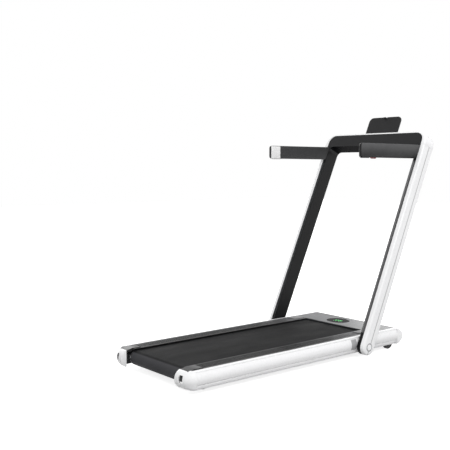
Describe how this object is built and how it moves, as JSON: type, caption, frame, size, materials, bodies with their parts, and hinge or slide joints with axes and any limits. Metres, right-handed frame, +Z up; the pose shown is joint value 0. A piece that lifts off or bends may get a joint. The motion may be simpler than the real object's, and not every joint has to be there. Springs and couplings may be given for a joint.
{
  "type": "folding treadmill",
  "caption": "Flat walking deck with a hinged U-shaped handrail frame that folds down round it, two fold-away arms and a tablet rest.",
  "frame": {"origin": "on the floor, under the middle of the bounding box", "axes": "+X the way the user faces, towards the motor; +Y to the user's left; +Z up"},
  "size_m": [1.6088, 0.697, 1.2174],
  "materials": {
    "white_gloss": "smooth moulded gloss",
    "black_gloss": "gloss",
    "black_satin": "fine satin",
    "arm_grey": "fine satin",
    "grey_satin": "satin",
    "display_glass": "polished",
    "painted_steel": "powder coat",
    "bare_steel": "turned",
    "heatsink": "extruded",
    "black_rubber": "matt",
    "belt_fabric": "fine diamond texture",
    "deck_board": "waxed fibreboard",
    "red_plastic": "gloss",
    "circuit_green": "solder mask"
  },
  "bodies": {
    "deck": {"side_rail_left": "white_gloss", "side_rail_right": "white_gloss", "rear_cap_left": "white_gloss", "rear_cap_right": "white_gloss", "foot_strip_left": "black_gloss", "foot_strip_right": "black_gloss", "corner_guard_left": "grey_satin", "corner_guard_right": "grey_satin", "motor_cover": "grey_satin", "nose_cover": "black_gloss", "motor_tray": "painted_steel", "display_window": "display_glass", "display_board": "circuit_green", "running_board": "deck_board", "deck_cushion_left": "black_rubber", "deck_cushion_right": "black_rubber", "side_beam_left": "painted_steel", "side_beam_right": "painted_steel", "cross_member_rear": "painted_steel", "cross_member_middle": "painted_steel", "cross_member_front": "painted_steel", "walking_belt": "belt_fabric", "motor": "painted_steel", "drive_belt": "black_rubber", "controller": "heatsink", "power_panel": "black_satin", "rubber_foot_left": "black_rubber", "rubber_foot_right": "black_rubber", "tension_bolt_left": "bare_steel", "tension_bolt_right": "bare_steel", "roller_shaft_front": "bare_steel", "roller_shaft_rear": "bare_steel"},
    "front_roller": {"front_roller": "bare_steel"},
    "rear_roller": {"rear_roller": "bare_steel"},
    "motor_rotor": {"motor_rotor": "bare_steel"},
    "wheel_left": {"wheel_left": "black_rubber"},
    "wheel_right": {"wheel_right": "black_rubber"},
    "power_rocker": {"power_rocker": "red_plastic"},
    "frame": {"upright_channel_left": "black_satin", "upright_channel_right": "black_satin", "upright_shell_left": "white_gloss", "upright_shell_right": "white_gloss", "upright_tube_left": "painted_steel", "upright_tube_right": "painted_steel", "crossbar_housing": "black_satin", "crossbar_trim": "white_gloss", "crossbar_tube": "painted_steel", "pivot_bolt_left": "bare_steel", "pivot_bolt_right": "bare_steel", "arm_pin_left": "bare_steel", "arm_pin_right": "bare_steel"},
    "lock_button_left": {"lock_button_left": "white_gloss"},
    "lock_button_right": {"lock_button_right": "white_gloss"},
    "arm_left": {"arm_left": "arm_grey", "speaker_grille_left": "white_gloss"},
    "arm_right": {"arm_right": "arm_grey", "speaker_grille_right": "white_gloss"},
    "tablet_rest": {"tablet_rest": "black_satin"},
    "rest_clip": {"rest_clip": "black_satin"},
    "safety_key": {"safety_key": "red_plastic"}
  },
  "joints": [
    {"name": "frame_fold", "type": "hinge", "parent": "deck", "child": "frame", "pos_m": [0.26263, 0, 0.063], "axis": [0, -1, 0], "range_deg": [0, 114.7]},
    {"name": "arm_fold_left", "type": "hinge", "parent": "frame", "child": "arm_left", "pos_m": [0.70611, 0.3147, 1.00805], "axis": [0, -1, 0], "range_deg": [0, 65.3]},
    {"name": "arm_fold_right", "type": "hinge", "parent": "frame", "child": "arm_right", "pos_m": [0.70611, -0.3147, 1.00805], "axis": [0, -1, 0], "range_deg": [0, 65.3]},
    {"name": "lock_button_press_left", "type": "slide", "parent": "frame", "child": "lock_button_left", "axis": [0, -1, 0], "range_m": [0, 0.0015], "stiffness_N_per_m": 1500},
    {"name": "lock_button_press_right", "type": "slide", "parent": "frame", "child": "lock_button_right", "axis": [0, 1, 0], "range_m": [0, 0.0015], "stiffness_N_per_m": 1500},
    {"name": "rest_pull", "type": "slide", "parent": "frame", "child": "tablet_rest", "axis": [0.4179, 0, 0.9085], "range_m": [0, 0.02]},
    {"name": "clip_lift", "type": "slide", "parent": "tablet_rest", "child": "rest_clip", "axis": [0.4179, 0, 0.9085], "range_m": [0, 0.015], "stiffness_N_per_m": 150},
    {"name": "key_pull", "type": "slide", "parent": "frame", "child": "safety_key", "axis": [-0.4179, 0, -0.9085], "range_m": [0, 0.012]},
    {"name": "front_roller_spin", "type": "hinge", "parent": "deck", "child": "front_roller", "pos_m": [0.40063, 0, 0.0682], "axis": [0, 1, 0], "continuous": true},
    {"name": "rear_roller_spin", "type": "hinge", "parent": "deck", "child": "rear_roller", "pos_m": [-0.72637, 0, 0.0682], "axis": [0, 1, 0], "continuous": true},
    {"name": "motor_spin", "type": "hinge", "parent": "deck", "child": "motor_rotor", "pos_m": [0.49563, 0, 0.066], "axis": [0, 1, 0], "continuous": true},
    {"name": "wheel_spin_left", "type": "hinge", "parent": "deck", "child": "wheel_left", "pos_m": [0.52363, 0.2505, 0.03], "axis": [0, 1, 0], "continuous": true},
    {"name": "wheel_spin_right", "type": "hinge", "parent": "deck", "child": "wheel_right", "pos_m": [0.52363, -0.2505, 0.03], "axis": [0, 1, 0], "continuous": true},
    {"name": "power_switch", "type": "hinge", "parent": "deck", "child": "power_rocker", "pos_m": [0.57913, -0.1315, 0.0685], "axis": [0, -1, 0], "range_deg": [0, 12]}
  ],
  "couplings": [
    {"joint": "rear_roller_spin", "follows": "front_roller_spin", "ratio": 1},
    {"joint": "motor_spin", "follows": "front_roller_spin", "ratio": 2.2097}
  ]
}
